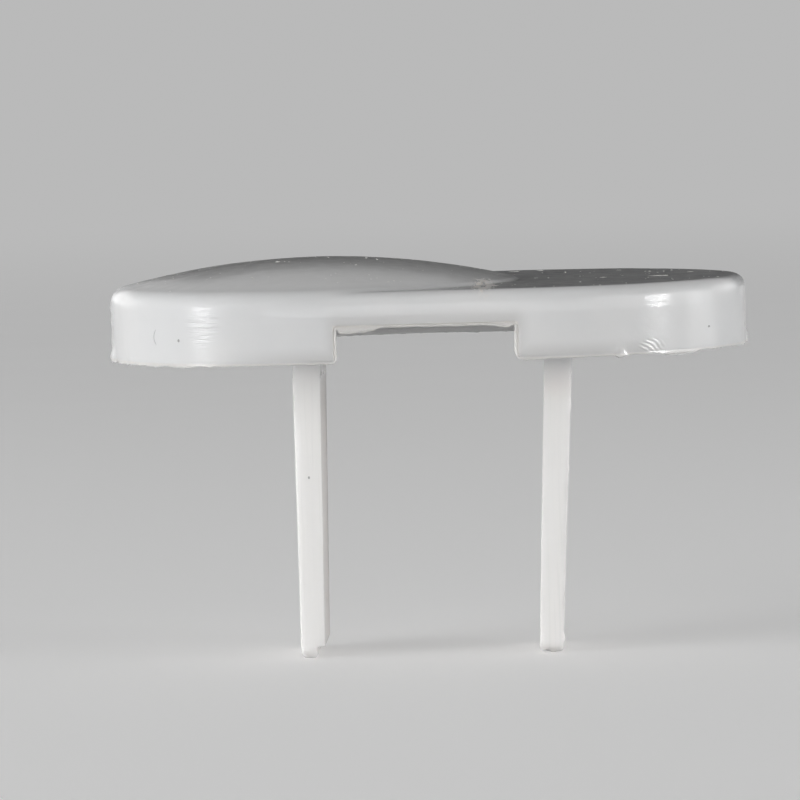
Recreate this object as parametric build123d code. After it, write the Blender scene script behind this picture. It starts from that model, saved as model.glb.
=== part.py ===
from build123d import *
import os

# An outlet safety cover, moulded in one piece: a plate with half-round ends, a low dome over its
# left end and a hollow underside, and two flat blades that plug into the outlet.
# Millimetres. The origin is midway between the blades' roots, on the seat: the plane where the
# skirt's rim meets the outlet. +Z points away from the outlet, the dome is at the -X end, and the
# notch for prying the cover out is in the skirt's -Y side.

# Plate
plate_length = 32.2
plate_depth = 21.0
plate_height = 3.4  # seat to the flat part of the face
plate_shift = -0.22  # the plate's middle lies this far along X from midway between the blades
edge_round = 0.6  # between the skirt's outside and the face

# Hollow underside
skirt_wall = 1.2
face_thickness = 1.5
hollow_round = 0.4  # between the hollow's wall and its ceiling

# Dome, part of a ball, centred on the half-round end
dome_height = 1.39  # crown above the flat part of the face

# Notch in the skirt, for a fingernail or a coin
notch_width = 8.8
notch_drop = 0.2  # from the hollow's ceiling down to the notch's top
notch_shift = -0.07  # the notch's middle, along X
notch_corner = 0.25  # where the notch's sides meet the rim

# Blades
blade_spacing = 12.7  # between the blades' middles at the seat
blade_length = 15.45  # seat to tip
blade_thickness = 1.42  # at the seat
tip_thickness = 1.21
blade_width = 6.35  # at the seat
tip_width = 5.2
tip_corner = 0.7  # the tip's two corners, seen from the side
tip_chamfer = 0.18  # along the tip's long edges
left_lean = -0.4  # degrees from upright, towards the other blade
right_lean = 2.75

# What has chipped off the left blade's tip, on its inner face
chip_depth = 0.38
chip_height = 0.63

ceiling = plate_height - face_thickness
overshoot = 1.0  # how far a cutting body runs past the surface that it cuts
tiny = 0.01  # how near an edge must lie to a plane to be picked there


def rounded_form(inset, top, corner):
    """The plate's form, inset all round: a slab with half-round ends up to top, and the dome above it."""
    length = plate_length - 2 * inset
    end_radius = plate_depth / 2 - inset
    slab = extrude(SlotOverall(length, 2 * end_radius), top)
    slab = fillet(slab.faces().sort_by(Axis.Z).last.edges(), corner)
    ball_radius = (end_radius**2 + dome_height**2) / (2 * dome_height)
    ball = Pos(0, 0, top + dome_height - ball_radius) * Rot(90, 0, 0) * Sphere(ball_radius)
    domed_end = extrude(Circle(end_radius), top + dome_height + overshoot) & ball
    domed_end = fillet(domed_end.faces().sort_by(Axis.Z).last.edges(), corner)
    return Pos(plate_shift, 0, 0) * (slab + Pos(end_radius - length / 2, 0, 0) * domed_end)


def notch():
    """The cutter for the notch: it opens towards the rim and reaches into the hollow."""
    front = Pos(notch_shift, -plate_depth / 2 - overshoot, -overshoot)
    depth = skirt_wall + 2 * overshoot
    height = ceiling - notch_drop + overshoot
    return front * Box(notch_width, depth, height, align=(Align.CENTER, Align.MIN, Align.MIN))


def shell():
    """The plate with its hollow and its notch."""
    outside = rounded_form(0, plate_height, edge_round)
    body = outside - rounded_form(skirt_wall, ceiling, hollow_round) - notch()
    at_rim = body.edges().filter_by(Axis.Y).filter_by_position(Axis.Z, -tiny, tiny)
    return fillet(at_rim, notch_corner)


def tapered(root_size, end_size, root_z):
    """The four corners of a blade's outline, of root_size at the seat, carried on up to root_z."""
    root_half = (root_size + (root_size - end_size) * root_z / blade_length) / 2
    tip_half = end_size / 2
    return [(-root_half, root_z), (-tip_half, -blade_length), (tip_half, -blade_length), (root_half, root_z)]


def blade(root_z, chipped):
    """A blade in its own frame, with its inner face towards +X and its root at root_z."""
    flat_on = make_face(Polyline(*tapered(blade_width, tip_width, root_z), close=True))
    flat_on = fillet(flat_on.vertices().group_by(Axis.Y)[0], tip_corner)
    edge_on = make_face(Polyline(*tapered(blade_thickness, tip_thickness, root_z), close=True))
    if chipped:
        lost = Pos(tip_thickness / 2 - chip_depth, -blade_length + chip_height)
        edge_on -= lost * Rectangle(blade_thickness, blade_length, align=(Align.MIN, Align.MAX))
    edge_on = chamfer(edge_on.vertices().group_by(Axis.Y)[0], tip_chamfer)
    across = extrude(Plane.YZ * flat_on, blade_thickness, both=True)
    return across & extrude(Plane.XZ * edge_on, blade_width, both=True)


def blades():
    """Both blades where they stand, leaning as they do, with their roots inside the face."""
    in_face = ceiling + face_thickness / 2
    left = Pos(-blade_spacing / 2, 0, 0) * Rot(0, -left_lean, 0) * blade(in_face + dome_height, True)
    right = Pos(blade_spacing / 2, 0, 0) * Rot(0, 0, 180) * Rot(0, -right_lean, 0) * blade(in_face, False)
    return left + right


def main():
    os.makedirs("parts", exist_ok=True)
    cover = shell() + blades()
    export_step(cover, "parts/outlet_cover.step")
    print(f"outlet_cover: {cover.volume:.0f} mm3")


main()
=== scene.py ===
from collections import namedtuple
from math import cos, pi, radians, sin, sqrt

import bmesh
import bpy
import numpy as np
from mathutils import Matrix, Vector, noise

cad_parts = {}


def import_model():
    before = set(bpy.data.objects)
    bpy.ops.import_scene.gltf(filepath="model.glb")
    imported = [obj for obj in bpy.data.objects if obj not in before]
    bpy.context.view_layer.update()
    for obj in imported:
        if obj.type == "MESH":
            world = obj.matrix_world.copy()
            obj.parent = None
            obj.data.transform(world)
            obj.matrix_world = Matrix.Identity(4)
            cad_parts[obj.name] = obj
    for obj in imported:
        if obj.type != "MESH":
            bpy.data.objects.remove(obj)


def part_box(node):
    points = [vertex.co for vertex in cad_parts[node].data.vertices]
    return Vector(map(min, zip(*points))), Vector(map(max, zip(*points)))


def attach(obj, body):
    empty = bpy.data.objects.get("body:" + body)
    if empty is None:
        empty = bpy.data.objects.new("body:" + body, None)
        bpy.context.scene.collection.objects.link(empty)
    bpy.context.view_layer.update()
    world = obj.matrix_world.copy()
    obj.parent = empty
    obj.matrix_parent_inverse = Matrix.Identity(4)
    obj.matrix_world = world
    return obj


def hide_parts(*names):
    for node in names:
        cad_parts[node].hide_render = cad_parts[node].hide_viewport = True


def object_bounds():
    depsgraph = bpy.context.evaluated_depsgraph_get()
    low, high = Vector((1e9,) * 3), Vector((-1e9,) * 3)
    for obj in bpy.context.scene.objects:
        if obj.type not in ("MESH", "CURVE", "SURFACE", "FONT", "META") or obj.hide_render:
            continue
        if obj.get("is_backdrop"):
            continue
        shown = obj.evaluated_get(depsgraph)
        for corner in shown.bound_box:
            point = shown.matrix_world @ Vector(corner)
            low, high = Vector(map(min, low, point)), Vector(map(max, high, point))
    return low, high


# The looks of the outlet safety cover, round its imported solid. Lengths are in millimetres up to the
# point where a mesh, a lamp or a texture is made, because the whole thing is 32 mm long.
MM = 0.001
SEED = 11

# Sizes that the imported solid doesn't name: its box gives only the outside
PLATE_HEIGHT = 3.4
DOME_HEIGHT = 1.39
EDGE_ROUND = 0.6
DOME_ROUND = 0.8  # worn a little rounder than the solid's
DOME_FOOT_SOFT = 0.02  # how softly the dome's foot runs out into the flat
HAIR = 1e-6  # a length that makes no difference
SKIRT_WALL = 1.2
FACE_THICKNESS = 1.5
HOLLOW_ROUND = 0.4
NOTCH_LEFT, NOTCH_RIGHT = -4.47, 4.33
NOTCH_MIDDLE = (NOTCH_LEFT + NOTCH_RIGHT) / 2
NOTCH_TOP = 1.7
NOTCH_CORNER = 0.25  # where its sides meet the rim
NOTCH_INNER = 0.12  # where they meet its top
BLADE_X = 6.35
BLADE_THICKNESS, TIP_THICKNESS = 1.42, 1.21
BLADE_WIDTH, TIP_WIDTH = 6.35, 5.2
TIP_CORNER, TIP_CHAMFER = 0.7, 0.18
LEFT_LEAN, RIGHT_LEAN = -0.4, 2.75
CHIP_DEPTH, CHIP_HEIGHT = 0.38, 0.63

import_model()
cad_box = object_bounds()
LOW, HIGH = (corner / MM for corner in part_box("outlet_cover"))
END_RADIUS = (HIGH.y - LOW.y) / 2
LEFT_END, RIGHT_END = LOW.x + END_RADIUS, HIGH.x - END_RADIUS  # axes of the half-round ends
STRAIGHT = RIGHT_END - LEFT_END
QUARTER = END_RADIUS * pi / 2
BLADE_LENGTH = -LOW.z
CEILING = PLATE_HEIGHT - FACE_THICKNESS

# The two rounded forms, as their outline's radius, their flat's height and their two edge rounds
OUTSIDE = (END_RADIUS, PLATE_HEIGHT, EDGE_ROUND, DOME_ROUND)
HOLLOW = (END_RADIUS - SKIRT_WALL, CEILING, HOLLOW_ROUND, HOLLOW_ROUND)


# The plate. Its mesh is a ring of stations round the outline, and rows of points across the
# section: from the middle of the face, over the edge, down the wall, round the rim, up the
# inside and back to the middle of the ceiling. A station's place is a distance along the
# outline, from 0 at the straight side's left end, and its side is -1 in front, +1 behind.

STATIONS = 340  # from the left end to the right end, in front and again behind
FACE_ROWS, ROUND_ROWS, WALL_ROWS, RIM_ROWS = 50, 8, 12, 4
INSIDE_ROWS, INSIDE_ROUND_ROWS, CEILING_ROWS = 5, 4, 18
NOTCH_STEPS = 7  # points on each of the notch's rounds
CLOSER = 2.0  # how many times closer the stations are at the notch
CLOSER_FROM = 0.4  # how far before the notch they start to be
FAN, LEAST_FAN = 4.0, 0.3  # how far beside the notch the stations lean, to leave room for its sides
RIM_BREAK = 0.06  # what is cut off the rim's inner edge
LOW_RIM = 1.0  # the rim lies lower than this, but for the notch's top

# The rim's edge, as steps across it: how far out and how far in each lies, in mm, how deep into
# the groove beside the lip it is, and how much of the flash's reach it takes out and in
RIM_EDGE = (
    (-0.210, 0.000, 0.0, 0.00, 0.00),
    (-0.130, 0.000, 0.0, 0.00, 0.00),
    (-0.100, 0.000, 0.9, 0.05, 0.00),
    (-0.070, 0.000, 1.0, 0.15, 0.00),
    (-0.045, 0.000, 0.1, 0.45, -0.05),
    (-0.012, 0.004, 0.0, 0.85, -0.10),
    (0.000, 0.035, 0.0, 1.00, -0.05),
    (0.000, 0.080, 0.0, 0.85, 0.10),
    (0.000, 0.160, 0.0, 0.00, 0.15),
)
GROOVE = 0.045  # how deep the groove is at the notch
GROOVE_ELSEWHERE = 0.003
GROOVE_RUN = ((-1.5, 0), (-0.5, 1), (12.5, 1), (13.5, 0))  # how it fades beside the notch

# How far the flash reaches out along the front rim, by the distance along the rim from the
# notch's left corner: down the left side, round the notch and on to the right end
FLASH_IN_FRONT = (
    (-18.0, 0.24), (-16.8, 0.20), (-15.5, 0.10), (-14.0, 0.12), (-13.0, 0.15), (-10.0, 0.14), (-7.0, 0.10),
    (-4.0, 0.06), (-0.5, 0.05), (0.0, 0.06), (1.2, 0.05), (1.6, 0.05), (1.75, 0.22), (2.9, 0.24), (3.4, 0.14),
    (3.7, 0.03), (6.0, 0.03), (7.6, 0.05), (8.2, 0.03), (9.4, 0.10), (10.0, 0.17), (10.3, 0.05), (11.2, 0.12),
    (11.9, 0.07), (12.3, 0.08), (13.0, 0.11), (13.5, 0.05), (16.8, 0.03), (17.2, 0.13), (17.6, 0.04),
    (19.2, 0.05), (19.6, 0.16), (21.5, 0.16), (21.9, 0.07), (24.0, 0.06), (27.0, 0.10), (30.0, 0.16),
)
FLASH_BEHIND = 0.07
TEARS = ((0.55, 0.45, 1), (0.45, 0.2, 2))  # its raggedness: a share, how far apart the tears are, a seed
TEAR_DEPTH, LEAST_FLASH = 1.3, 0.2  # as shares of the reach
BACK_LIFT = 0.25  # how much higher the rim lies in the middle of the back

Rim = namedtuple("Rim", "along height out_along out_up even from_notch")


def ragged(distance, step, seed):
    """A smooth random curve in 0 to 1 along a closed distance, with a knot each step."""
    count = max(4, round(float(distance[-1]) / step))
    heights = np.random.default_rng(SEED + seed).random(count)
    heights = np.append(heights, heights[0])
    at = distance / distance[-1] * count
    low = np.minimum(at.astype(int), count - 1)
    share = at - low
    share = share * share * (3 - 2 * share)
    return heights[low] * (1 - share) + heights[low + 1] * share


def rounded_top(x, y, radius, top, corner, dome_corner):
    """The height of the plate's form over a point, by its outline's radius: the slab with its rounded
    edge, and the dome with its own."""
    beyond = np.where(x < LEFT_END, x - LEFT_END, np.where(x > RIGHT_END, x - RIGHT_END, 0))
    in_from_edge = np.clip(radius - np.hypot(beyond, y), 0, None)
    slab = top - corner + np.sqrt(np.clip(corner**2 - np.clip(corner - in_from_edge, 0, None) ** 2, 0, None))
    ball = (radius**2 + DOME_HEIGHT**2) / (2 * DOME_HEIGHT)
    middle = top + DOME_HEIGHT - ball
    reach = np.hypot(x - LEFT_END, y)
    cap = middle + np.sqrt(np.clip(ball**2 - reach**2, 0, None))
    round_middle = middle + sqrt((ball - dome_corner) ** 2 - (radius - dome_corner) ** 2)
    over_round = np.clip(dome_corner**2 - np.clip(reach - radius + dome_corner, 0, None) ** 2, 0, None)
    edge = round_middle + np.sqrt(over_round)
    on_cap = reach < (radius - dome_corner) * ball / (ball - dome_corner)
    dome = np.where(on_cap, cap, np.where(reach <= radius + HAIR, edge, 0))
    return DOME_FOOT_SOFT * np.logaddexp(slab / DOME_FOOT_SOFT, dome / DOME_FOOT_SOFT)


def on_outline(along, inset, side):
    """The point at a distance along the outline and inset from it."""
    reach = END_RADIUS - inset
    angle = np.where(along < 0, along, np.where(along > STRAIGHT, along - STRAIGHT, 0)) / END_RADIUS
    x = LEFT_END + np.clip(along, 0, STRAIGHT) + reach * np.sin(angle)
    return x, side * reach * np.cos(angle)


def notch_side():
    """The notch's left side, from the rim up to its top: how far right of it each point is, and how high."""
    turns = np.linspace(0, pi / 2, NOTCH_STEPS)
    below = [(NOTCH_CORNER * (sin(t) - 1), NOTCH_CORNER * (1 - cos(t))) for t in turns]
    above = [(NOTCH_INNER * (1 - cos(t)), NOTCH_TOP - NOTCH_INNER * (1 - sin(t))) for t in turns]
    return below + above


def rim_path():
    """The front rim's stations, from the left end to the right end: their distance along the outline
    and height, the direction out of the wall's edge, the distance along the outline higher up the
    wall, and the distance along the rim from the notch."""
    left, right = NOTCH_LEFT - LEFT_END, NOTCH_RIGHT - LEFT_END
    side = notch_side()
    points = [(-QUARTER, 0), *((left + u, z) for u, z in side), *((right - u, z) for u, z in reversed(side))]
    points = np.array([*points, (STRAIGHT + QUARTER, 0)])
    steps = np.append(0, np.cumsum(np.hypot(*np.diff(points, axis=0).T)))
    # The stations are closer together along the notch
    first, last = steps[1] - CLOSER_FROM, steps[-2] + CLOSER_FROM
    weight = np.cumsum([0, first, CLOSER * (last - first), steps[-1] - last])
    distance = np.interp(np.linspace(0, weight[-1], STATIONS), weight, [0, first, last, steps[-1]])
    along, height = (np.interp(distance, steps, points[:, i]) for i in (0, 1))
    du, dz = np.gradient(along), np.gradient(height)
    size = np.hypot(du, dz)
    # Higher up the wall the stations beside the notch spread out to both sides of it
    middle = len(side) - NOTCH_STEPS // 2
    corners = steps[[middle, len(points) - 1 - middle]]
    beside = [corners[0] - NOTCH_TOP - FAN, *corners, corners[1] + NOTCH_TOP + FAN]
    spread = [left - FAN, left - LEAST_FAN, right + LEAST_FAN, right + FAN]
    even = np.interp(distance, [0, *beside, steps[-1]], [-QUARTER, *spread, STRAIGHT + QUARTER])
    return Rim(along, height, dz / size, -du / size, even, distance - (QUARTER + left))


def ring(ahead, back):
    """The front stations' values, then those behind, which share both ends' stations."""
    return np.concatenate([ahead, back[STATIONS - 2:0:-1]])


def flash_reach(from_notch):
    """How far the flash reaches out at each station, unevenly torn."""
    reach = ring(np.interp(from_notch, *zip(*FLASH_IN_FRONT)), np.full(STATIONS, FLASH_BEHIND))
    turn = ring(from_notch, 2 * from_notch[-1] - from_notch)
    turn = np.append(turn - turn[0], 2 * (from_notch[-1] - from_notch[0]))
    tears = sum(share * ragged(turn, step, seed)[:-1] for share, step, seed in TEARS)
    return reach * np.clip(1 + TEAR_DEPTH * (tears - 0.5), LEAST_FLASH, None)


class Plate:
    """The plate's stations, as rings, and the rows of points across its section."""

    def __init__(self):
        front = rim_path()
        lift = BACK_LIFT * np.clip(1 - (front.even / STRAIGHT - 0.5) ** 2, 0, 1)
        none, one = np.zeros(STATIONS), np.ones(STATIONS)
        self.side = ring(-one, one)
        self.along, self.even = ring(front.along, front.even), ring(front.even, front.even)
        self.height = ring(front.height, lift)
        self.out_along, self.out_up = ring(front.out_along, none), ring(front.out_up, -one)
        self.reach = flash_reach(front.from_notch)
        at_notch = ring(np.interp(front.from_notch, *zip(*GROOVE_RUN)), none)
        self.groove = GROOVE_ELSEWHERE + (GROOVE - GROOVE_ELSEWHERE) * at_notch

    def row(self, along, inset, z):
        x, y = on_outline(along, inset, self.side)
        return np.stack([x, y, z + 0 * x], -1)

    def shaped(self, inset, form):
        """A row that lies on one of the two rounded forms."""
        x, y = on_outline(self.even, inset, self.side)
        return np.stack([x, y, rounded_top(x, y, *form)], -1)

    def face(self):
        for inset in np.linspace(END_RADIUS, EDGE_ROUND, FACE_ROWS)[:-1]:
            yield self.shaped(inset, OUTSIDE)
        for turn in np.linspace(pi / 2, 0, ROUND_ROWS):
            yield self.shaped(EDGE_ROUND * (1 - cos(turn)), OUTSIDE)

    def wall(self):
        """From the edge's round to the rim's, on the way drawing in to the rim's stations."""
        top = self.shaped(0, OUTSIDE)[:, 2]
        start = RIM_EDGE[0][0]
        foot_along, foot = self.along + self.out_along * start, self.height + self.out_up * start
        for share in np.linspace(0, 1, WALL_ROWS)[1:-1]:
            yield self.row(self.even + (foot_along - self.even) * share, 0, top + (foot - top) * share)

    def rim(self):
        for out, into, sunk, more_out, more_in in RIM_EDGE:
            step = out + more_out * self.reach
            inset = into + sunk * self.groove + more_in * self.reach
            yield self.row(self.along + self.out_along * step, inset, self.height + self.out_up * step)
        for inset in np.linspace(RIM_EDGE[-1][1], SKIRT_WALL - RIM_BREAK, RIM_ROWS)[1:]:
            yield self.row(self.along, inset, self.height)

    def inside(self):
        start = self.height + RIM_BREAK * (self.height < LOW_RIM)
        end = CEILING - HOLLOW_ROUND
        for share in np.linspace(0, 1, INSIDE_ROWS)[:-1]:
            along = self.along + (self.even - self.along) * share
            yield self.row(along, SKIRT_WALL, np.maximum(start + (end - start) * share, self.height))
        for turn in np.linspace(0, pi / 2, INSIDE_ROUND_ROWS)[:-1]:
            row = self.shaped(SKIRT_WALL + HOLLOW_ROUND * (1 - cos(turn)), HOLLOW)
            row[:, 2] = np.maximum(row[:, 2], self.height)
            yield row
        for inset in np.linspace(SKIRT_WALL + HOLLOW_ROUND, END_RADIUS, CEILING_ROWS):
            yield self.shaped(inset, HOLLOW)

    def rows(self):
        return np.array([*self.face(), *self.wall(), *self.rim(), *self.inside()])


def grid_faces(rows, columns):
    """Quads of a grid of rows that close on themselves."""
    i, j = np.meshgrid(np.arange(rows - 1), np.arange(columns), indexing="ij")
    k = (j + 1) % columns
    quads = np.stack([i * columns + j, (i + 1) * columns + j, (i + 1) * columns + k, i * columns + k], -1)
    return quads.reshape(-1, 4).tolist()


# The blades. Each is a stack of rings from its root to its tip. Across a blade, plus is the side
# that faces the other blade.

LONG_SIDE, SHORT_SIDE, CORNER_STEPS = 24, 8, 4
BLADE_RINGS, TIP_RINGS = 90, 16
OUTER_EDGE, INNER_EDGE = 0.19, 0.05  # how round the long edges are, away from and towards the other blade
ROOT_DEPTH = 0.3  # how far a root runs on into the face
CHIP_STEP = 0.015  # half the height of the step up to the chip

# What has torn at the tips: how far up it reaches, and by blade how far it pulls the surface
TORN_HEIGHT = 0.35
LEFT_BURR, RIGHT_BURR = 0.052, 0.13
TORN_ACROSS, TORN_ALONG = 2.6, 1.7  # how many tears there are per mm
TORN_SIDEWAYS = 3.0
TORN_UP, TORN_ASIDE = 0.1, 0.5  # how much more is lost than gained, and how much of it goes sideways
TORN_SEED, TORN_OTHER_SEED = 7.3, 5


def blade_ring(low, high, half_width):
    """A ring round a blade, from its low to its high side across, with round corners."""
    arcs = []
    for turn, (at_high, side) in enumerate(((1, -1), (1, 1), (0, 1), (0, -1))):
        r = min(INNER_EDGE if at_high else OUTER_EDGE, half_width / 2, (high - low) / 2.2)
        across = high - r if at_high else low + r
        a = np.linspace(turn - 1, turn, CORNER_STEPS) * pi / 2
        arcs.append(np.stack([across + r * np.cos(a), side * (half_width - r) + r * np.sin(a)], -1))
    points = []
    for turn, arc in enumerate(arcs):
        steps = SHORT_SIDE if turn % 2 else LONG_SIDE
        points += [arc, np.linspace(arc[-1], arcs[(turn + 1) % 4][0], steps)[1:-1]]
    return np.concatenate(points)


def blade_rows(side, lean, root_top, chipped):
    """The rings of the blade at a side, -1 or +1, where it stands."""
    tilt = radians(lean)
    downs = [*np.linspace(-root_top, BLADE_LENGTH - TIP_CORNER, BLADE_RINGS)]
    downs += [*(BLADE_LENGTH - TIP_CORNER * (1 - np.sin(np.linspace(0, pi / 2, TIP_RINGS)[1:])))]
    if chipped:
        step = BLADE_LENGTH - CHIP_HEIGHT
        downs = sorted(downs + [step - CHIP_STEP, step + CHIP_STEP])
    rows = []
    for down in downs:
        to_tip = BLADE_LENGTH - down
        half = (BLADE_THICKNESS + (TIP_THICKNESS - BLADE_THICKNESS) * down / BLADE_LENGTH) / 2
        half_width = (BLADE_WIDTH + (TIP_WIDTH - BLADE_WIDTH) * down / BLADE_LENGTH) / 2
        if to_tip < TIP_CORNER:
            half_width -= TIP_CORNER - sqrt(TIP_CORNER**2 - (TIP_CORNER - to_tip) ** 2)
        high = TIP_THICKNESS / 2 - CHIP_DEPTH if chipped and to_tip < CHIP_HEIGHT else half
        bevel = max(0, TIP_CHAMFER - to_tip)
        across, y = blade_ring(bevel - half, high - bevel, half_width).T
        x = side * BLADE_X - side * (across * cos(tilt) + down * sin(tilt))
        rows.append(np.stack([x, y, across * sin(tilt) - down * cos(tilt)], -1))
    return np.array(rows)


def tear_tip(points, seed, reach):
    """Pulls a blade's end about, as where the gate or a burr has torn."""
    lowest = points[:, 2].min()
    for p in points:
        near = max(0, 1 - (p[2] - lowest) / TORN_HEIGHT)
        if near:
            tear = noise.noise(Vector((p[0] * TORN_ACROSS, p[1] * TORN_ALONG, seed)))
            p[2] = max(p[2] + reach * near * (tear + TORN_UP), lowest)
            pull = noise.noise(Vector((p[0] * TORN_SIDEWAYS, p[1] * TORN_SIDEWAYS, seed + TORN_OTHER_SEED)))
            p[0] += TORN_ASIDE * reach * near * pull


# The whole cover

MERGE = 2e-8  # points closer than this, in metres, are one
SHARP = 50  # degrees: a sharper edge than this isn't shaded smooth
UNEVEN = ((0.010, 2.6), (0.004, 0.7))  # waves of the surface: how high, and how wide

# Nubs that the mould or a cut has left: place, radius and height
NUBS = (
    ((-16.30, -1.3, 2.57), 0.24, 0.10), ((-16.10, -2.3, 0.12), 0.60, 0.13),
    ((-16.30, -1.1, 0.12), 0.40, 0.12), ((-15.1, -5.2, 0.0), 0.30, 0.05),
    ((-16.27, -1.2, 1.9), 0.30, 0.05), ((-16.27, -1.2, 0.9), 0.40, 0.05),
    ((15.85, 0.4, 0.35), 0.35, 0.14), ((15.85, 0.0, 0.05), 0.40, 0.10),
    ((6.73, -2.9, -6.1), 0.20, 0.07), ((6.92, -3.0, -2.9), 0.50, 0.03),
    ((6.25, -2.5, -14.7), 0.32, 0.09), ((9.35, -9.70, -0.02), 0.32, 0.12),
)
NUB_FALL = 1.5  # the higher, the more pointed they are


def mesh_piece(name, points, faces, material):
    mesh = bpy.data.meshes.new(name)
    mesh.from_pydata((np.asarray(points) * MM).tolist(), [], faces)
    bm = bmesh.new()
    bm.from_mesh(mesh)
    bmesh.ops.remove_doubles(bm, verts=bm.verts, dist=MERGE)
    bmesh.ops.dissolve_degenerate(bm, edges=bm.edges, dist=MERGE)
    bmesh.ops.recalc_face_normals(bm, faces=bm.faces)
    bm.to_mesh(mesh)
    bm.free()
    mesh.shade_smooth()
    mesh.set_sharp_from_angle(angle=radians(SHARP))
    mesh.materials.append(material)
    piece = bpy.data.objects.new(name, mesh)
    bpy.context.scene.collection.objects.link(piece)
    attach(piece, "root")
    return piece


def blade(side, lean, burr, ceiling, chipped):
    """A blade's points and faces, with its root in the face and its tip torn."""
    rows = blade_rows(side, lean, ceiling + ROOT_DEPTH, chipped)
    points = rows.reshape(-1, 3)
    tear_tip(points, side * TORN_SEED, burr)
    columns = rows.shape[1]
    caps = [list(range(columns)), list(range(len(points) - columns, len(points)))]
    return points, grid_faces(len(rows), columns) + caps


def cover_points():
    """The plate and both blades, as one list of points and one of faces."""
    plate = Plate().rows()
    crown = float(rounded_top(np.array(-BLADE_X), np.array(0.0), *HOLLOW))
    parts = (
        (plate.reshape(-1, 3), grid_faces(len(plate), plate.shape[1])),
        blade(-1, LEFT_LEAN, LEFT_BURR, crown, True),
        blade(1, RIGHT_LEAN, RIGHT_BURR, CEILING, False),
    )
    points, faces = [], []
    for some, of_them in parts:
        faces += [[i + len(points) for i in face] for face in of_them]
        points += some.tolist()
    return np.array(points), faces


def uneven(piece):
    """Moves the surface in and out by hundredths of a millimetre, as cheap moulding leaves it."""
    mesh = piece.data
    count = len(mesh.vertices)
    place, normal = np.empty(count * 3), np.empty(count * 3)
    mesh.vertices.foreach_get("co", place)
    mesh.vertex_normals.foreach_get("vector", normal)
    place, normal = place.reshape(-1, 3) / MM, normal.reshape(-1, 3)
    waves = np.array([sum(high * noise.noise(Vector(p) / wide) for high, wide in UNEVEN) for p in place])
    for middle, radius, height in NUBS:
        near = np.clip(1 - (np.linalg.norm(place - middle, axis=1) / radius) ** 2, 0, 1)
        waves += height * near**NUB_FALL
    place += normal * waves[:, None]
    mesh.vertices.foreach_set("co", (place * MM).ravel())
    mesh.update()


# Materials

class Nodes:
    """Adds nodes to an emptied tree. Inputs are values or sockets of other nodes."""

    def __init__(self, owner):
        owner.use_nodes = True
        self.tree = owner.node_tree
        self.tree.nodes.clear()

    def add(self, kind, inputs=None, output=0, **settings):
        node = self.tree.nodes.new("ShaderNode" + kind)
        for name, value in settings.items():
            setattr(node, name, value)
        for socket, value in (inputs or {}).items():
            if isinstance(value, bpy.types.NodeSocket):
                self.tree.links.new(value, node.inputs[socket])
            else:
                node.inputs[socket].default_value = value
        return node.outputs[output] if node.outputs else node

    def math(self, operation, first, *others):
        """One value after another is worked into the first."""
        for other in others:
            first = self.add("Math", {0: first, 1: other}, operation=operation)
        return first

    def vector(self, operation, *values, output="Vector"):
        return self.add("VectorMath", dict(enumerate(values)), output=output, operation=operation)

    def parts(self, vector):
        return [self.add("SeparateXYZ", {0: vector}, output=n) for n in range(3)]

    def apart(self, value, middle):
        """How far a value lies from a middle."""
        return self.add("Math", {0: self.math("SUBTRACT", value, middle)}, operation="ABSOLUTE")

    def fade(self, value, start, end, low=0.0, high=1.0):
        """Goes softly from low to high as the value goes from start to end."""
        inputs = {"Value": value, "From Min": start, "From Max": end, "To Min": low, "To Max": high}
        return self.add("MapRange", inputs, interpolation_type="SMOOTHSTEP")

    def mixed(self, factor, below, above):
        """A colour between two, each of them red, green and blue or a socket."""
        below, above = (c if isinstance(c, bpy.types.NodeSocket) else (*c, 1) for c in (below, above))
        return self.add("Mix", {"Factor": factor, 6: below, 7: above}, output=2, data_type="RGBA")

    def shining(self, kind, strength):
        return self.add(kind, {"Color": (1, 1, 1, 1), "Strength": strength})

    def seen_share(self, seen, unseen):
        """One strength for what the camera sees, straight or by a gloss, and another for all other light."""
        kinds = ("Is Camera Ray", "Is Glossy Ray", "Is Transmission Ray")
        rays = [self.add("LightPath", output=kind) for kind in kinds]
        return self.add("MapRange", {"Value": self.math("MAXIMUM", *rays), "To Min": unseen, "To Max": seen})


CLOUDS = ((0.75, 0.755, 0.76), (0.78, 0.78, 0.78))  # the plate's own colour, between these two

# What is laid over it, in this order: how strong it is, and its colour
LAYERS = {
    # painted light: the dome coloured lighter than the flat face, for the light its slopes catch
    "dome": (1.0, (0.9, 0.9, 0.9)),
    # painted shade: the hollow's ceiling, facing down, darkened for the shade it lies in
    "hollow_shade": (1.0, (0.6, 0.59, 0.58)),
    # painted glow: the blades coloured brighter and warmer than the plate, for the light that shines through
    # them
    "blade": (1.0, (0.985, 0.935, 0.91)),
    # painted shade: the front wall darker by the rim and above the notch
    "wall_shade": (0.8, (0.62, 0.615, 0.61)),
    "pits": (0.6, (0.22, 0.21, 0.2)),
    "scratch": (0.45, (0.3, 0.3, 0.31)),
    "stain": (0.6, (0.66, 0.48, 0.33)),
    "pale": (0.9, (0.98, 0.94, 0.89)),
    "specks": (1.0, (0.95, 0.94, 0.92)),
    # painted glow: the rim's and notch's edge a little lighter and warmer
    "lip": (0.5, (0.80, 0.77, 0.72)),
    # painted shade: the blades' broad sides darker than their fronts; the same mask makes them rougher
    "rough_shaded_sides": (0.7, (0.68, 0.665, 0.65)),
    "streaks": (0.35, (0.84, 0.81, 0.79)),
}

# How high, in mm, each of these stands where it is strongest
BUMPS = {
    "waves": 0.004, "grain": 0.001, "lines": 0.012, "scuffed": 0.045, "rubbed": 0.018, "ripples": 0.0032,
    "eased": -0.04, "pits": -0.05, "scratch": -0.05, "specks": 0.03,
}
SMOOTHEST, ROUGHEST = 0.15, 0.22
ROUGH_MARKS = {"rough_shaded_sides": 0.35, "stain": 0.4, "pale": 0.4}  # how much rougher these are
SEE_THROUGH, SCATTER = 0.8, 0.7  # how much light goes in, and how far it spreads, in mm

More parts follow.
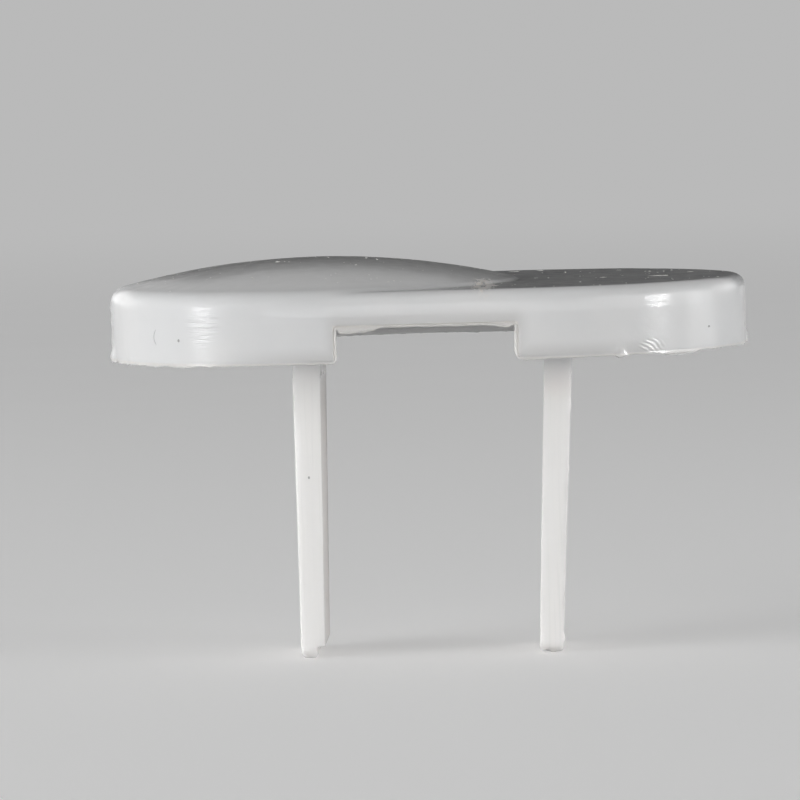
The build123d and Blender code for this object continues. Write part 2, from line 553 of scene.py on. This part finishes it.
# Noises in the plastic, as how many spots there are per mm, how many finer ones they are made of,
# how much closer they are along X, Y and Z, and how strong the finer ones are
EVEN = (1, 1, 1)
NOISES = {
    "clouds": (0.25, 4, EVEN, 0.5),
    "waves": (2.4, 3, EVEN, 0.5),
    "grain": (14, 2, EVEN, 0.5),
    "gloss": (1.6, 5, EVEN, 0.5),
    "specks": (0.9, 1, EVEN, 0.5),
    "ripples": (1.3, 2, EVEN, 0.5),
    "lines": (1.0, 2, (6, 1, 0.15), 0.5),
    "stain": (5.0, 3, (1.5, 0.5, 1), 0.5),
    "pale": (2.2, 4, (2.0, 0.45, 1), 0.5),
    "scuffed": (1.0, 3, (0.45, 0.45, 4.5), 0.6),
    "rubbed": (1.0, 4, (0.5, 0.5, 7), 0.6),
}

# From where to where a noise's layer fades in
CLOUDS_IN, GLOSS_IN, STREAKS_IN = (0.35, 0.7), (0.2, 0.8), (0.5, 0.75)
STAIN_IN, PALE_IN = (0.54, 0.66), (0.34, 0.62)
SPECKS_PER_MM, SPECK_SIZE, SPECKS_CHOSEN = 1.1, (0.055, 0.03), 0.52

# From where to where a layer fades in, by its place in mm or by the way the surface faces
# DOME_LIGHTER_IN is where the dome's painted light fades in
DOME_LIGHTER_IN = (END_RADIUS, 9.0)  # from the dome's axis
# HOLLOW_SHADE_IN is where the hollow's painted shade fades in
BLADE_IN, HOLLOW_SHADE_IN = (-0.2, -3.0), (1.2, 1.8)  # in height, as the next two are
ABOVE_SEAT = (-0.2, -0.1)
EASED_IN = (2.2, 3.1)  # the wall starts to turn over a little before its round
# Where the front wall's painted shade lies
SHADE_BY_RIM = ((0.9, 0.05), (-12.0, -5.0))  # in height, and along X
SHADE_BY_NOTCH = ((2.8, 1.75), (5.2, 4.2))  # in height, and from the notch's middle
SHADE_FRONT = (-8.0, -9.0)  # along Y
LIP_GLOW_AT_RIM = (0.10, 0.0)
LIP_GLOW_AT_NOTCH, LIP_GLOW_FRONT = ((1.86, 1.78), (4.56, 4.48)), (-9.0, -9.5)
FACING_UP, FACING_DOWN, FACING_ASIDE = (0.7, 0.95), (-0.3, -0.8), (0.75, 0.95)

# Marks in the plastic, as a middle, half sizes and how much of that is the soft edge
PITS = (
    ((-12.3, -8.26, 1.18), (0.07, 0.2, 0.09), 0.3),
    ((13.83, -6.23, 1.06), (0.07, 0.2, 0.06), 0.3),
    ((-6.38, -3.0, -6.2), (0.06, 0.4, 0.08), 0.3),
)
SMEAR = ((2.8, -7.2, 3.5), (0.9, 4.2, 1.4), 0.7)  # by the dome's foot, brownish in a paler haze
SCUFFED = ((-11.0, -9.1, 1.9), (1.2, 1.6, 1.3), 0.6)
RUBBED = ((11.2, -8.8, 2.58), (1.15, 1.3, 0.42), 0.5)
RIPPLES = ((11.0, -8.9, 0.35), (0.9, 1.2, 0.42), 0.5)
RIPPLE_X, RIPPLE_Z = 9.9, -0.9  # the middle of the ripples' arcs
RIPPLE_TURNS = 32.0  # in radians per mm
RIPPLE_STRAY = 0.25  # how far, in mm, they stray from true arcs
SCRATCH_X, SCRATCH_Z, SCRATCH_BEND = -13.62, 1.32, 0.85
SCRATCH_LENGTH, SCRATCH_WIDTH = (0.4, 0.3), (0.028, 0.006)  # halves, with the soft edge's two sides


class Plastic(Nodes):
    """The cover's nodes, with its place in millimetres, and the way its surface faces."""

    def __init__(self, material):
        super().__init__(material)
        self.place = self.vector("MULTIPLY", self.add("TexCoord", output="Object"), (1 / MM,) * 3)
        self.x, self.y, self.z = self.parts(self.place)
        facing = self.parts(self.add("NewGeometry", output="True Normal"))
        self.sideways, self.upward = self.apart(facing[0], 0.0), facing[2]
        self.from_notch = self.apart(self.x, NOTCH_MIDDLE)

    def noise(self, name):
        scale, detail, closer, roughness = NOISES[name]
        at = self.vector("MULTIPLY", self.place, closer)
        return self.add("TexNoise", {"Vector": at, "Scale": scale, "Detail": detail, "Roughness": roughness})

    def patch(self, middle, size, edge):
        """1 within an egg-shaped patch, fading to 0 at its edge."""
        off = self.vector("DIVIDE", self.vector("SUBTRACT", self.place, middle), size)
        return self.fade(self.vector("LENGTH", off, output="Value"), 1.0, 1.0 - edge)

    def both(self, *masks):
        return self.math("MULTIPLY", *masks)

    def either(self, *masks):
        return self.math("MAXIMUM", *masks)

    # Painted light: 1 over the dome, which is coloured lighter than the flat around it
    def dome(self):
        from_axis = self.vector("DISTANCE", self.place, (LEFT_END, 0, PLATE_HEIGHT), output="Value")
        return self.fade(from_axis, *DOME_LIGHTER_IN)

    def wall_shade(self):
        """Painted shade: the front wall darker by the rim and above the notch, where it backs on to little
        plastic and less light shines through.
        """
        (by_height, along), (over_top, beside) = SHADE_BY_RIM, SHADE_BY_NOTCH
        by_rim = self.both(self.fade(self.z, *by_height), self.fade(self.x, *along))
        by_notch = self.both(self.fade(self.z, *over_top), self.fade(self.from_notch, *beside))
        in_front = self.both(self.fade(self.y, *SHADE_FRONT), self.fade(self.z, *ABOVE_SEAT))
        return self.both(self.either(by_rim, by_notch), in_front)

    def lip(self):
        """Painted glow: the rim's and the notch's very edge, coloured a little lighter and warmer for the
        light that shines through the thin flash.
        """
        at_rim = self.both(self.fade(self.z, *LIP_GLOW_AT_RIM), self.fade(self.z, *ABOVE_SEAT))
        over_top, beside = LIP_GLOW_AT_NOTCH
        at_notch = self.both(self.fade(self.z, *over_top), self.fade(self.from_notch, *beside))
        return self.either(at_rim, self.both(at_notch, self.fade(self.y, *LIP_GLOW_FRONT)))

    def specks(self):
        """Light grains in the face."""
        near = self.add("TexVoronoi", {"Vector": self.place, "Scale": SPECKS_PER_MM}, output="Distance")
        chosen = self.math("GREATER_THAN", self.noise("specks"), SPECKS_CHOSEN)
        return self.both(self.fade(near, *SPECK_SIZE), chosen, self.fade(self.upward, *FACING_UP))

    def scratch(self):
        """A fine bowed line in the front wall."""
        up = self.math("SUBTRACT", self.z, SCRATCH_Z)
        bow = self.math("ADD", self.both(self.math("POWER", up, 2.0), SCRATCH_BEND), SCRATCH_X)
        along = self.fade(self.apart(self.z, SCRATCH_Z), *SCRATCH_LENGTH)
        across = self.fade(self.apart(self.x, bow), *SCRATCH_WIDTH)
        return self.both(across, along, self.math("LESS_THAN", self.y, 0.0))

    def ripples(self):
        """Arcs round a point below the rim, where the plastic has crept."""
        across, up = self.math("SUBTRACT", self.x, RIPPLE_X), self.math("SUBTRACT", self.z, RIPPLE_Z)
        squares = self.math("ADD", self.math("POWER", across, 2.0), self.math("POWER", up, 2.0))
        stray = self.both(self.noise("ripples"), RIPPLE_STRAY)
        far = self.math("ADD", self.math("POWER", squares, 0.5), stray)
        waves = self.add("Math", {0: self.both(far, RIPPLE_TURNS)}, operation="SINE")
        return self.both(waves, self.patch(*RIPPLES))

    def masks(self):
        """Where each layer, bump and roughness lies, by its name."""
        blade, smear, lines = self.fade(self.z, *BLADE_IN), self.patch(*SMEAR), self.noise("lines")
        return {
            "dome": self.dome(),
            # painted shade inside the hollow, on what faces down
            "hollow_shade": self.both(self.fade(self.z, *HOLLOW_SHADE_IN), self.fade(self.upward, *FACING_DOWN)),
            "blade": blade,
            "wall_shade": self.wall_shade(),
            "pits": self.either(*(self.patch(*pit) for pit in PITS)),
            "scratch": self.scratch(),
            "stain": self.both(smear, self.fade(self.noise("stain"), *STAIN_IN)),
            "pale": self.both(smear, self.fade(self.noise("pale"), *PALE_IN)),
            "specks": self.specks(),
            "lip": self.lip(),
            # the blades' broad sides: painted shade, and rougher
            "rough_shaded_sides": self.both(self.fade(self.sideways, *FACING_ASIDE), blade),
            "streaks": self.both(self.fade(lines, *STREAKS_IN), blade),
            "lines": self.both(lines, blade),
            "waves": self.noise("waves"),
            "grain": self.noise("grain"),
            "scuffed": self.both(self.math("SUBTRACT", self.noise("scuffed"), 0.5), self.patch(*SCUFFED)),
            "rubbed": self.both(self.math("SUBTRACT", self.noise("rubbed"), 0.5), self.patch(*RUBBED)),
            "ripples": self.ripples(),
            "eased": self.fade(self.z, *EASED_IN),
        }


def plastic():
    """Slightly see-through white plastic, with its scuffs, pits, dust and stains, and with painted shade,
    painted light and painted glow laid into its colour.
    """
    material = bpy.data.materials.new("white_plastic_worn")
    nodes = Plastic(material)
    masks = nodes.masks()
    colour = nodes.mixed(nodes.fade(nodes.noise("clouds"), *CLOUDS_IN), *CLOUDS)
    for name, (strength, laid_over) in LAYERS.items():
        colour = nodes.mixed(nodes.both(masks[name], strength), colour, laid_over)
    rough = nodes.fade(nodes.noise("gloss"), *GLOSS_IN, SMOOTHEST, ROUGHEST)
    marks = {name: nodes.both(masks[name], more) for name, more in ROUGH_MARKS.items()}
    rough = nodes.math("ADD", rough, marks["rough_shaded_sides"], nodes.either(marks["stain"], marks["pale"]))
    height = nodes.math("ADD", *(nodes.both(masks[name], high) for name, high in BUMPS.items()))
    shader = nodes.add("BsdfPrincipled", {
        "Base Color": colour, "Roughness": rough, "IOR": 1.5,
        "Normal": nodes.add("Bump", {"Height": height, "Distance": MM, "Strength": 1.0}),
        "Subsurface Weight": SEE_THROUGH, "Subsurface Scale": SCATTER * MM, "Subsurface Radius": EVEN,
    })
    nodes.add("OutputMaterial", {"Surface": shader})
    return material


def mottled(name, scale, detail, darker, lighter):
    """A new material's nodes, its name, and a colour that changes over it: scale is in spots per metre."""
    material = bpy.data.materials.new(name)
    nodes = Nodes(material)
    place = nodes.add("TexCoord", output="Object")
    shade = nodes.add("TexNoise", {"Vector": place, "Scale": scale, "Detail": detail})
    return material, nodes, nodes.mixed(shade, darker, lighter)


def dust_material():
    material, nodes, colour = mottled("dust_white", 9000.0, 3.0, (0.8, 0.79, 0.76), (0.93, 0.92, 0.9))
    shader = nodes.add("BsdfPrincipled", {"Base Color": colour, "Roughness": 0.8})
    nodes.add("OutputMaterial", {"Surface": shader})
    return material


def flag_material():
    material, nodes, colour = mottled("flag_dark", 200.0, 2.0, (0.02, 0.02, 0.02), (0.04, 0.04, 0.04))
    nodes.add("OutputMaterial", {"Surface": nodes.add("BsdfDiffuse", {"Color": colour})})
    return material


def floor_material():
    """Pale, with the cover's shadow: part of its paleness shines by itself, and from below it can
    be seen through."""
    material, nodes, colour = mottled("floor_pale", 60.0, 4.0, (0.70, 0.70, 0.70), (0.73, 0.73, 0.725))
    matt = nodes.add("BsdfDiffuse", {"Color": colour})
    near = nodes.add("AddShader", {0: matt, 1: nodes.shining("Emission", nodes.seen_share(FLOOR_GLOW, 0.0))})
    far = nodes.shining("Emission", nodes.seen_share(BACKDROP, WORLD))
    away = nodes.vector("LENGTH", nodes.add("TexCoord", output="Object"), output="Value")
    lit = nodes.add("MixShader", {0: nodes.fade(away, *SWEEP), 1: near, 2: far})
    under = nodes.add("NewGeometry", output="Backfacing")
    surface = nodes.add("MixShader", {0: under, 1: lit, 2: nodes.add("BsdfTransparent")})
    nodes.add("OutputMaterial", {"Surface": surface})
    return material


# Dust and lint that lie on the face: where, how large, and how many times as long along X
DUST = (
    (-7.64, -2.25, 0.07, 2.0), (-7.30, -2.40, 0.04, 1.2), (-7.07, -2.62, 0.04, 1.5),
    (-3.63, -4.24, 0.05, 1.2), (-3.26, -0.72, 0.05, 1.2), (-2.68, -1.46, 0.04, 1.2),
    (-1.63, -7.77, 0.04, 1.2), (-12.74, -7.01, 0.04, 1.2), (4.1, 8.5, 0.03, 9.0), (2.9, 2.8, 0.04, 1.5),
    (5.5, 9.0, 0.05, 3.0), (6.8, 5.8, 0.04, 1.5), (7.52, -5.41, 0.03, 1.5), (8.48, -9.18, 0.03, 1.5),
    (8.7, -1.2, 0.05, 3.0), (10.8, -4.1, 0.03, 1.5), (11.5, -0.7, 0.025, 20.0), (4.3, -6.3, 0.03, 1.5),
    (13.2, 2.5, 0.03, 6.0), (9.6, 6.6, 0.03, 5.0),
)
FINE_DUST = 170  # specks strewn over the face
FINE_SIZE, FINE_STRETCH = (0.012, 0.034), (1, 2.5)
DUST_LUMPS = 0.5  # how uneven a grain is, as a share of its size
DUST_FLATNESS = 0.6


def lying_dust():
    """Every grain, as where it lies, its size, its stretch and how finely its mesh is divided."""
    rng = np.random.default_rng(SEED)
    lying = [(*grain, 2) for grain in DUST]
    while len(lying) < len(DUST) + FINE_DUST:
        x, y = rng.uniform(LOW.x, HIGH.x), rng.uniform(LOW.y, HIGH.y)
        beyond = max(LEFT_END - x, x - RIGHT_END, 0)
        if sqrt(beyond**2 + y**2) < END_RADIUS - EDGE_ROUND:
            lying.append((x, y, rng.uniform(*FINE_SIZE), rng.uniform(*FINE_STRETCH), 1))
    return lying


def dust():
    """The grains' points and faces: uneven, flattened balls on the face."""
    points, faces = [], []
    for n, (x, y, size, stretch, finer) in enumerate(lying_dust()):
        bm = bmesh.new()
        bmesh.ops.create_icosphere(bm, subdivisions=finer, radius=size)
        z = float(rounded_top(np.array(x), np.array(y), *OUTSIDE))
        first = len(points)
        for vert in bm.verts:
            p = vert.co * (1 + DUST_LUMPS * noise.noise(vert.co / size + Vector((n, 0, 0))))
            points.append((x + p.x * stretch, y + p.y, z + p.z * DUST_FLATNESS))
        faces += [[v.index + first for v in face.verts] for face in bm.faces]
        bm.free()
    return points, faces


# Camera, at the photograph's viewing angle
LENS_PIXELS = 4712.5  # its focal length, in pixels of an 800-pixel picture
PICTURE = 800
CAMERA_AT = (6.67, -239.26, 14.17)
YAW, PITCH, ROLL = -2.022, 4.009, -1.686
CLIP_NEAR, CLIP_FAR = 0.01, 10  # in metres


def camera():
    yaw, pitch, roll = radians(YAW), radians(PITCH), radians(ROLL)
    ahead = Vector((sin(yaw) * cos(pitch), cos(yaw) * cos(pitch), -sin(pitch)))
    right = Vector((cos(yaw), -sin(yaw), 0))
    up = right.cross(ahead)
    right, up = right * cos(roll) + up * sin(roll), up * cos(roll) - right * sin(roll)
    data = bpy.data.cameras.new("camera")
    data.lens = LENS_PIXELS * data.sensor_width / PICTURE
    data.clip_start, data.clip_end = CLIP_NEAR, CLIP_FAR
    seen_from = bpy.data.objects.new("camera", data)
    turned = Matrix((right, up, -ahead)).transposed().to_4x4()
    seen_from.matrix_world = Matrix.Translation(Vector(CAMERA_AT) * MM) @ turned
    bpy.context.scene.collection.objects.link(seen_from)
    bpy.context.scene.camera = seen_from


# Light: soft boxes, as azimuth and elevation in degrees, distance, width and height in mm, and how
# bright each alone makes a white surface that faces it. Azimuth 0 is the camera's side, 90 the right.
LAMPS = {
    "left_inner": (-64, 4, 300, 60, 50, 0.115),
    "left_middle": (-65, 9, 400, 330, 240, 0.38),
    "left_outer": (-67, 9, 400, 620, 240, 0.62),
    "front_low": (0, 3, 1000, 1000, 130, 0.11),
    "right_inner": (69, 4.5, 300, 46, 42, 0.19),
    "right_outer": (64, 7, 400, 600, 190, 0.46),
    "right_card": (101, 2.8, 200, 75, 48, 0.05),
    "left_rear": (-140, 12, 900, 700, 330, 0.09),
    "right_rear": (140, 12, 900, 700, 330, 0.09),
}
UNMIRRORED = ("left_middle", "left_outer")  # they only light, and put no glare on the face
FLAG = (164.8, 10.5, 850, 715, 290)  # a dark screen that the face mirrors, behind: as a lamp's first five

WORLD = 0.06  # how strongly all round lights the cover
BACKDROP = 0.49  # how pale it looks, low down
BACKDROP_ABOVE = 0.43  # higher up it is darker
SLOPES = (0.1, 0.5)  # from this slope of the view to that, the one turns into the other
FLOOR_GLOW = 0.30
FLOOR_HALF = 2.0  # half the floor's side, in metres
SWEEP = (0.12, 0.7)  # from here to there, in metres, the floor turns into the backdrop


def at_angle(thing, azimuth, elevation, distance):
    """Puts a lamp or a screen out in a direction, turned to the cover."""
    a, e = radians(azimuth), radians(elevation)
    way = Vector((sin(a) * cos(e), -cos(a) * cos(e), sin(e)))
    thing.location = way * distance * MM
    thing.rotation_euler = way.to_track_quat("Z", "Y").to_euler()
    thing.visible_camera = False
    bpy.context.scene.collection.objects.link(thing)


def lamps():
    for name, (azimuth, elevation, distance, width, height, strength) in LAMPS.items():
        data = bpy.data.lights.new(name, "AREA")
        data.shape, data.size, data.size_y = "RECTANGLE", width * MM, height * MM
        data.energy = strength * (pi * distance * MM) ** 2
        lamp = bpy.data.objects.new(name, data)
        lamp.visible_glossy = name not in UNMIRRORED
        at_angle(lamp, azimuth, elevation, distance)


def sheet(name, width, height, material):
    """A flat rectangle, its sizes in metres."""
    mesh = bpy.data.meshes.new(name)
    corners = [(sx * width / 2, sy * height / 2, 0) for sx, sy in ((-1, -1), (1, -1), (1, 1), (-1, 1))]
    mesh.from_pydata(corners, [], [(0, 1, 2, 3)])
    mesh.materials.append(material)
    return bpy.data.objects.new(name, mesh)


def flag():
    azimuth, elevation, distance, width, height = FLAG
    screen = sheet("flag", width * MM, height * MM, flag_material())
    at_angle(screen, azimuth, elevation, distance)
    screen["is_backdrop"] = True


def stage():
    floor = sheet("floor", 2 * FLOOR_HALF, 2 * FLOOR_HALF, floor_material())
    floor.location.z = LOW.z * MM
    bpy.context.scene.collection.objects.link(floor)
    floor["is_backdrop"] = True


def world():
    """A pale backdrop all round the horizon, and a plain soft light."""
    scene = bpy.context.scene
    scene.world = bpy.data.worlds.new("studio")
    nodes = Nodes(scene.world)
    slope = nodes.parts(nodes.add("TexCoord", output="Generated"))[2]
    low, high = SLOPES
    above = {"Value": slope, "From Min": low, "From Max": high, "To Min": BACKDROP, "To Max": BACKDROP_ABOVE}
    strength = nodes.seen_share(nodes.add("MapRange", above), WORLD)
    nodes.add("OutputWorld", {"Surface": nodes.shining("Background", strength)})


cover = mesh_piece("cover", *cover_points(), plastic())
uneven(cover)
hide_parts("outlet_cover")
specks = mesh_piece("dust", *dust(), dust_material())
stage()
camera()
lamps()
flag()
world()
bpy.context.scene.view_settings.view_transform = "Standard"

visual_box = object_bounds()
boxes = {"cad": cad_box, "visual": visual_box}
{name: [list(corner) for corner in box] for name, box in boxes.items()}
